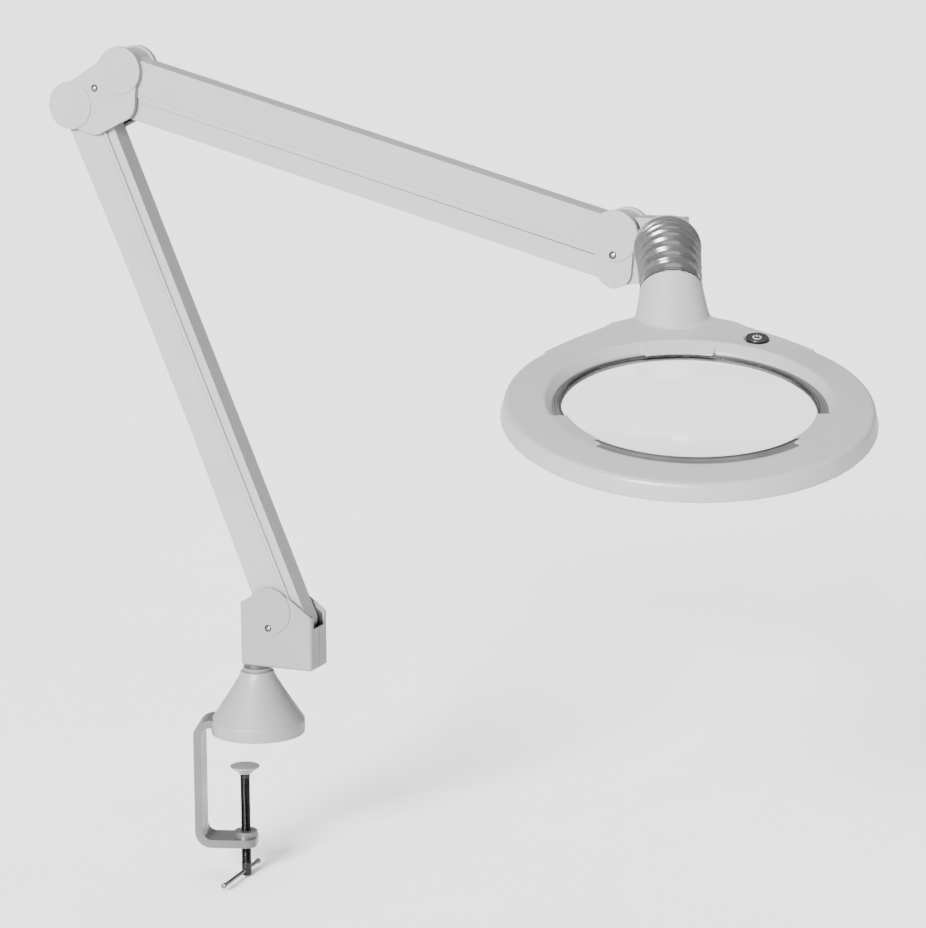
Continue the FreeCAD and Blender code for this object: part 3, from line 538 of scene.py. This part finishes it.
def make_button():
    """Dished push button with a plain ring-and-stroke symbol."""
    place = HEAD @ Matrix.Translation((0.052, 0.0926, 0.0015))
    profile = [(0, -5.7), (7.4, -5.7), (7.55, -5.5), (7.55, -1.3)] + arc(6.9, -1.25, 0.65, 0, 90, 4)
    profile += [(5.6, -0.85), (3.5, -1.0), (0, -1.1)]
    mesh = lathe("power_button_mesh", profile, place, 64)
    carried(add_piece("power_button_finished", mesh, BUTTON, 50.0), "power_button")
    rows = []
    for i in range(41):
        angle = math.radians(90 + 32 + (360 - 64) * i / 40)
        out = Vector((math.cos(angle), math.sin(angle), 0))
        centre = Vector((0, 0, -0.93)) + out * 2.6
        rows.append([placed(place, centre + out * a + Vector((0, 0, b)))
                     for a, b in ((0.3, 0.1), (-0.3, 0.1), (-0.3, -0.14), (0.3, -0.14))])
    ring = grid_mesh("symbol_ring", rows)
    stroke = bmesh.new()
    bmesh.ops.create_cube(stroke, size=1.0, matrix=place @ Matrix.Translation((0, 0.0023, -0.00093))
                          @ Matrix.Diagonal((0.0006, 0.0028, 0.0002, 1)))
    for name, shape in (("symbol_ring", ring), ("symbol_stroke", mesh_of(stroke, "symbol_stroke"))):
        piece = add_piece(name, shape, SYMBOL)
        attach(piece, "power_button")


# ---------------------------------------------------------------- clamp
def make_screw():
    """Black rod with a rolled thread, plain at both ends, with a short nose and chamfered ends."""
    tip, top, low = -29.75, -33.1, -112.8
    thread_low, thread_high, depth = -102.5, -36, 0.62
    steps, per_pitch = 48, 6
    rows = []
    count = int((top - low) / THREAD_PITCH * per_pitch)
    for i in range(count + 1):
        z = top - (top - low) * i / count
        ring = []
        for j in range(steps):
            turn_part = j / steps
            phase = (z / THREAD_PITCH + turn_part) % 1.0
            tooth = abs(2 * phase - 1)
            threaded = 1.0 if thread_low < z < thread_high else 0.0
            radius = 3.74 - threaded * depth * (1 - tooth)
            near_end = min(top - z, z - low)
            radius = min(radius, 2.9 + near_end)
            angle = 2 * math.pi * turn_part
            ring.append(placed(SCREW, (radius * math.cos(angle), radius * math.sin(angle), z)))
        rows.append(ring)
    rows = [circle(SCREW, 2.5, tip, steps), circle(SCREW, 2.5, top, steps)] + rows
    ends = [[placed(SCREW, (0, 0, z))] * steps for z in (tip, low)]
    mesh = grid_mesh("clamp_screw_mesh", ends[:1] + rows + ends[1:])
    carried(add_piece("clamp_screw_finished", mesh, BLACK_ROD, 30.0), "clamp_screw")


def make_handle():
    """Sliding cross bar with upset ends."""
    place = SCREW @ Matrix.Translation((0, 0, -0.1083)) @ Matrix.Rotation(math.radians(-90), 4, "X")
    low = [(0, -43)] + arc(1.3, -42.2, 0.8, -90, 0, 4) + arc(1.5, -40.6, 0.6, 0, 90, 3) + [(1.49, -39.6)]
    high = [(1.49, 19.1)] + arc(1.5, 20.1, 0.6, -90, 0, 3) + arc(1.3, 21.7, 0.8, 0, 90, 4) + [(0, 22.5)]
    mesh = lathe("tommy_bar_mesh", low + high, place, 32)
    carried(add_piece("tommy_bar_finished", mesh, BAR, 40.0), "tommy_bar")


def make_pad():
    """Turned swivel pad on the end of the screw."""
    place = Matrix.Translation(CLAMP @ Vector((-0.0107, 0, 0)))
    profile = [(0, -26.8), (10.6, -26.8)] + arc(10.7, -27.3, 0.48, 90, -20, 4)
    profile += [(10.5, -28.2), (8.6, -29.4), (6.9, -30.6), (5.6, -31.8), (4.75, -32.8), (2.6, -32.8),
                (2.6, -29.3), (0, -29.3)]
    mesh = lathe("pressure_pad_mesh", profile, place, 96)
    carried(add_piece("pressure_pad_finished", mesh, PAD, 40.0), "pressure_pad")


def make_cone():
    """Bell-shaped cone with a rounded skirt, notched where the clamp bar leaves."""
    profile = [(32.8, 0.02)] + arc(34.5, 0.7, 0.65, -90, 0, 3) + [(35.18, 8.9)]
    profile += arc(33.0, 9.2, 2.2, 0, 48, 5)
    profile += [(32.6, 14.0), (29.0, 19.4), (23.8, 27.2), (18.8, 35.0), (14.6, 42.0), (12.9, 45.4)]
    profile += arc(11.7, 46.4, 1.15, 12, 90, 4) + [(10.3, 47.58), (10.3, 42.6), (31.2, 10.9), (32.8, 8.0)]
    mesh = lathe("base_cone_mesh", profile + [profile[0]], Matrix(), 160)
    cone = add_piece("base_cone_finished", mesh, CONE, 40.0)
    cutter = bmesh.new()
    bmesh.ops.create_cube(cutter, size=1.0, matrix=CLAMP @ Matrix.Translation((-0.032, 0, 0.0081))
                          @ Matrix.Diagonal((0.024, 0.0266, 0.0064, 1)))
    cut_away(cone, mesh_of(cutter, "notch_tool"))
    cone.data.set_sharp_from_angle(angle=math.radians(40))
    carried(cone, "base_cone")


# ---------------------------------------------------------------- screws and springs
def make_screw_heads(node):
    """Pan heads with a cross recess, one at each end of the node, each sitting in a black cup that paints
    the shade of its recess.
    """
    low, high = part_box(node)
    centre = (low + high) / 2
    for side in (-1, 1):
        face = high.y if side > 0 else low.y
        outward = Matrix.Rotation(math.radians(-90 * side), 4, "X")
        place = Matrix.Translation((centre.x, face, centre.z)) @ outward
        # Black cup round the head: painted shade of the recess the screw sits in, not a real part of the
        # screw.
        painted_shade_cup = [(1.6, -1.25), (2.48, -1.25), (2.48, -0.3), (2.36, -0.2), (2.2, -0.9), (1.6, -0.9)]
        painted_shade_cup = lathe("painted_shade_cup", painted_shade_cup + painted_shade_cup[:1], place, 32)
        carried(add_piece("%s_collar_%d" % (node, side), painted_shade_cup, BLACK, 40.0), node)
        profile = [(0, -4.6), (1.1, -4.6), (1.1, -1.1), (1.4, -1.0)] + arc(1.1, -0.5, 0.3, 0, 80, 3)
        profile += [(0.7, -0.08), (0, -0.05)]
        head = add_piece("%s_head_%d" % (node, side), lathe("head", profile, place, 32), BRIGHT, 40.0)
        tool = bmesh.new()
        for turn in (20, 110):
            bmesh.ops.create_cube(tool, size=1.0, matrix=place @ Matrix.Rotation(math.radians(turn), 4, "Z")
                                  @ Matrix.Diagonal((0.0019, 0.0005, 0.0012, 1)))
        cut_away(head, mesh_of(tool, "recess_tool"), crossing=True)
        carried(head, node)


def make_spring(node, pivot, angle, anchor):
    """Close-wound coil between its two hooks, drawn as one round wire.

    The first hook hangs at anchor, measured level from the pivot on the parent, and a straight lead runs
    from it into the coil.
    """
    turn = Matrix.Rotation(-math.radians(angle), 4, "Y")
    place = Matrix.Translation(pivot) @ turn
    start = turn.inverted() @ Vector(anchor)
    end = Vector((334, 0, -8))
    bend_from, bend_to = 6, 37
    axis = (end - start).normalized()
    side = Vector((0, 1, 0))
    up = axis.cross(side)
    path = []
    for i in range(25):
        a = math.radians(180 - 360 * 0.86 * i / 24)
        path.append(start + axis * (HOOK_RADIUS * math.cos(a)) + up * (HOOK_RADIUS * math.sin(a)))
    path += [start + axis * s for s in (bend_from, 12, 20, 30, bend_to)]
    turns, per_turn = 112, 12
    for i in range(turns * per_turn + 1):
        a = 2 * math.pi * i / per_turn
        grow = min(1.0, i / per_turn, (turns * per_turn - i) / per_turn)
        advance = 40 + 240 * i / (turns * per_turn)
        path.append(start + axis * advance + (side * math.cos(a) + up * math.sin(a)) * (COIL_RADIUS * grow))
    length = (end - start).length
    path += [start + axis * s for s in (284, 300, length - 3, length - 0.5)]
    rows = []
    for i, point in enumerate(path):
        ahead = path[min(i + 1, len(path) - 1)] - path[max(i - 1, 0)]
        ahead.normalize()
        first = ahead.cross(side if abs(ahead.dot(side)) < 0.9 else up).normalized()
        second = ahead.cross(first)
        rows.append([placed(place, point + (first * math.cos(t) + second * math.sin(t)) * WIRE_RADIUS)
                     for t in np.linspace(0, 2 * math.pi, 7)[:-1]])
    mesh = grid_mesh(node + "_mesh", rows)
    piece = add_piece(node + "_finished", mesh, WIRE, 80.0)
    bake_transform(piece)
    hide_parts(node)


# ---------------------------------------------------------------- build
make_housing()
make_bellows()
make_lens()
make_gasket()
make_button()
make_screw()
make_handle()
make_pad()
make_cone()
for node in ("base_screws", "elbow_screws", "head_screws"):
    make_screw_heads(node)

BASE = Vector((0.0176, 0, 0.0975))
LOWER_RISE = math.radians(LOWER_ANGLE)
ELBOW_LOW = BASE + Vector((math.cos(LOWER_RISE), 0, math.sin(LOWER_RISE))) * LOWER_LENGTH
ELBOW_HIGH = ELBOW_LOW + Vector((0.0416, 0, 0.0261))
make_spring("lower_spring", BASE, LOWER_ANGLE, (20.0, 0, -8.5))
make_spring("upper_spring", ELBOW_HIGH, UPPER_ANGLE, (0, 0, -24.0))

softened("clamp_frame", 1.6, 4)
for node in ("base_shell_front", "base_shell_back"):
    softened(node, 2.2, 4, broad=120.0)
for node in ("elbow_shell_front", "elbow_shell_back", "head_shell_front", "head_shell_back"):
    softened(node, 0.6, 3)
for node in ("lower_channel", "upper_channel"):
    softened(node, 1.3, 3, broad=200.0)
for node in ("lower_link_channel", "upper_link_channel", "led_cover", "tilt_yoke", "base_core",
             "elbow_core"):
    softened(node, 0.25, 2)
softened("head_core", 0.6, 3)


# ---------------------------------------------------------------- stage, light and camera
def stage_plane(name, level, reach):
    """Square floor of half-width reach, in metres."""
    mesh = bpy.data.meshes.new(name)
    corners = [(x * reach, y * reach, level) for x, y in ((-1, -1), (1, -1), (1, 1), (-1, 1))]
    mesh.from_pydata(corners, [], [(0, 1, 2, 3)])
    plane = into_scene(name, mesh)
    mesh.materials.append(floor_cover())


def area_light(name, place, target, width, power):
    light = bpy.data.lights.new(name, "AREA")
    light.shape = "RECTANGLE"
    light.size = width
    light.size_y = width * 0.7
    light.energy = power
    lamp = into_scene(name, light)
    lamp.location = place
    lamp.rotation_euler = (Vector(target) - Vector(place)).to_track_quat("-Z", "Y").to_euler()


def soft_sun(name, toward, strength, spread):
    """Far softbox: even over the whole set, with soft shadow edges."""
    light = bpy.data.lights.new(name, "SUN")
    light.energy = strength
    light.angle = math.radians(spread)
    lamp = into_scene(name, light)
    lamp.rotation_euler = Vector(toward).to_track_quat("-Z", "Y").to_euler()


lowest = cad_bounds[0][2]
stage_plane("floor", lowest - 0.0006, 90.0)
soft_sun("key", (0.02, 0.927, -0.375), 15.0, 22)
soft_sun("top", (-0.05, -0.1, -1.0), 2.0, 50)
area_light("sparkle", (-0.9, -1.6, 0.9), (0.1, 0, 0.3), 0.25, 4)

world = bpy.data.worlds.new("studio")
bpy.context.scene.world = world
world.use_nodes = True
background = world.node_tree.nodes["Background"]
background.inputs["Color"].default_value = (0.985, 0.97, 1.0, 1)
background.inputs["Strength"].default_value = 0.5

azimuth, elevation, roll = math.radians(23.5), math.radians(10.65), math.radians(-0.23)
back = Vector((math.sin(azimuth) * math.cos(elevation), -math.cos(azimuth) * math.cos(elevation),
               math.sin(elevation)))
level_right = Vector((math.cos(azimuth), math.sin(azimuth), 0))
level_up = back.cross(level_right)
right = level_right * math.cos(roll) + level_up * math.sin(roll)
up = level_up * math.cos(roll) - level_right * math.sin(roll)
optics = bpy.data.cameras.new("camera")
optics.lens = 114.44
optics.sensor_width = 36
optics.clip_end = 250
camera = into_scene("camera", optics)
facing = Matrix((right, up, back)).transposed().to_4x4()
camera.matrix_world = Matrix.Translation((0.995, -1.901, 0.606)) @ facing
bpy.context.scene.camera = camera
